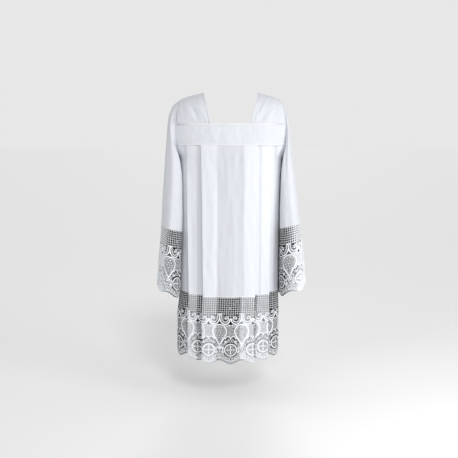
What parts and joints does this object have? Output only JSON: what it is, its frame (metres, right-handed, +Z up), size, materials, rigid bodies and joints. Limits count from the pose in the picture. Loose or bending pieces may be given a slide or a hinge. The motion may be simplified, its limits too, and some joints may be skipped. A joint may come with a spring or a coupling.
{
  "type": "surplice",
  "caption": "Knee-length white surplice, worn form: square neck, yoke band, outward knife pleats, long sleeves, deep scalloped lace at hem and cuffs.",
  "frame": {"origin": "midway between the two shoulder tops at the neck edge, where the wearer's shoulders hold it", "axes": "+Z up, -Y the front, +X to the right seen from the front"},
  "size_m": [0.5432, 0.2784, 0.9717],
  "materials": {
    "cotton": "thin white cotton poplin, plain weave, slightly sheer, pressed",
    "hemstitch": "narrow bright white hemstitched strip",
    "lace": "white guipure lace: square net, scrolls, ovals, medallions and a scalloped edge"
  },
  "bodies": {
    "root": {"yoke_front": "cotton", "yoke_back": "cotton", "yoke_trim_top_front": "hemstitch", "yoke_trim_top_back": "hemstitch", "yoke_trim_bottom_front": "hemstitch", "yoke_trim_bottom_back": "hemstitch", "shoulder_left": "cotton", "shoulder_right": "cotton", "skirt_front": "cotton", "skirt_back": "cotton", "sleeve_left": "cotton", "sleeve_right": "cotton", "hem_lace_front": "lace", "hem_lace_back": "lace", "cuff_lace_left_front": "lace", "cuff_lace_left_back": "lace", "cuff_lace_right_front": "lace", "cuff_lace_right_back": "lace"}
  },
  "joints": []
}
